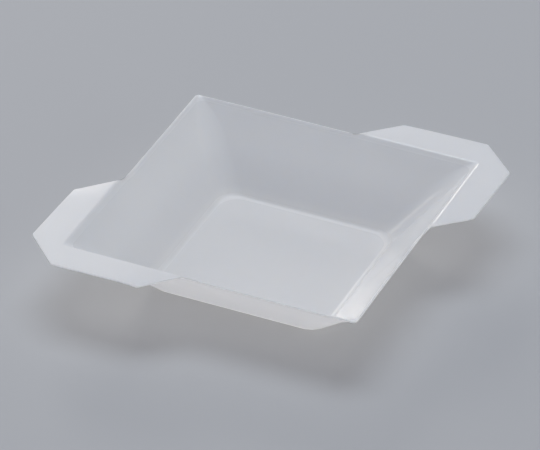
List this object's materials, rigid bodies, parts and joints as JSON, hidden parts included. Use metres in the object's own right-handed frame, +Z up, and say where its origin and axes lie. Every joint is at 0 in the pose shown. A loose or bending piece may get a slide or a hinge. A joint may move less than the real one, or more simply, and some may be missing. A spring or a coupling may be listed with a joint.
{
  "type": "weighing boat",
  "caption": "Shallow square weighing boat formed from one thin plastic sheet, with sloping walls, flanges at opposite corners to hold it by, and free corners to pour from.",
  "frame": {"origin": "middle of the underside of the floor", "axes": "+Z up out of the bowl; the sides of the floor lie along X and Y; the flanges are at the +X +Y and -X -Y corners"},
  "size_m": [0.1046, 0.1046, 0.0195],
  "materials": {
    "milky_sheet": "satin, milky and slightly translucent"
  },
  "bodies": {
    "root": {"boat": "milky_sheet"}
  },
  "joints": []
}
